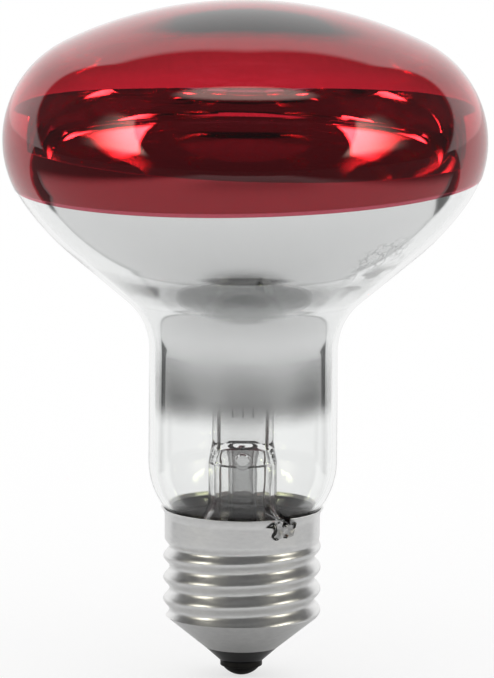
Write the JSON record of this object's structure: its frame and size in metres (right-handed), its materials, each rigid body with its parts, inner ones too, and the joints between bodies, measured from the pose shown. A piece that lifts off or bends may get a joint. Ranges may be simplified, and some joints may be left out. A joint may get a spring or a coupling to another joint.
{
  "type": "reflector bulb",
  "caption": "Mushroom-shaped reflector bulb with a transparent red dome, a mirrored bowl and upper neck, a clear lower neck showing the stem, and a screw cap.",
  "frame": {"origin": "lowest point of the centre contact, on the axis of the lamp", "axes": "+Z along the lamp's axis from the cap to the dome, -Y to the front, +X to the right"},
  "size_m": [0.0802, 0.0802, 0.1128],
  "materials": {
    "clear_glass": "clear blown glass, smooth",
    "red_lacquer": "transparent red dipped lacquer, glossy",
    "mirror_film": "vapour-deposited aluminium mirror",
    "stem_glass": "clear pressed glass",
    "nickel_wire": "drawn nickel-plated wire",
    "copper_wire": "drawn copper wire",
    "support_wire": "drawn molybdenum wire",
    "tungsten": "grey coiled tungsten",
    "cap_aluminium": "rolled bright aluminium sheet",
    "black_glass": "fused black glass",
    "contact_metal": "darkened stamped contact",
    "solder": "dull darkened solder",
    "cement": "baked basing cement"
  },
  "bodies": {
    "root": {"glass_envelope": "clear_glass", "red_lacquer": "red_lacquer", "mirror_coating": "mirror_film", "stem_flare": "stem_glass", "exhaust_tube": "stem_glass", "inner_lead_left": "nickel_wire", "inner_lead_right": "nickel_wire", "seal_wire_left": "copper_wire", "seal_wire_right": "copper_wire", "centre_lead": "copper_wire", "side_lead": "copper_wire", "support_wire_left": "support_wire", "support_wire_middle": "support_wire", "support_wire_right": "support_wire", "filament": "tungsten", "cap_shell": "cap_aluminium", "cap_insulator": "black_glass", "contact_plate": "contact_metal", "centre_solder": "solder", "side_solder": "solder", "basing_cement": "cement"}
  },
  "joints": []
}
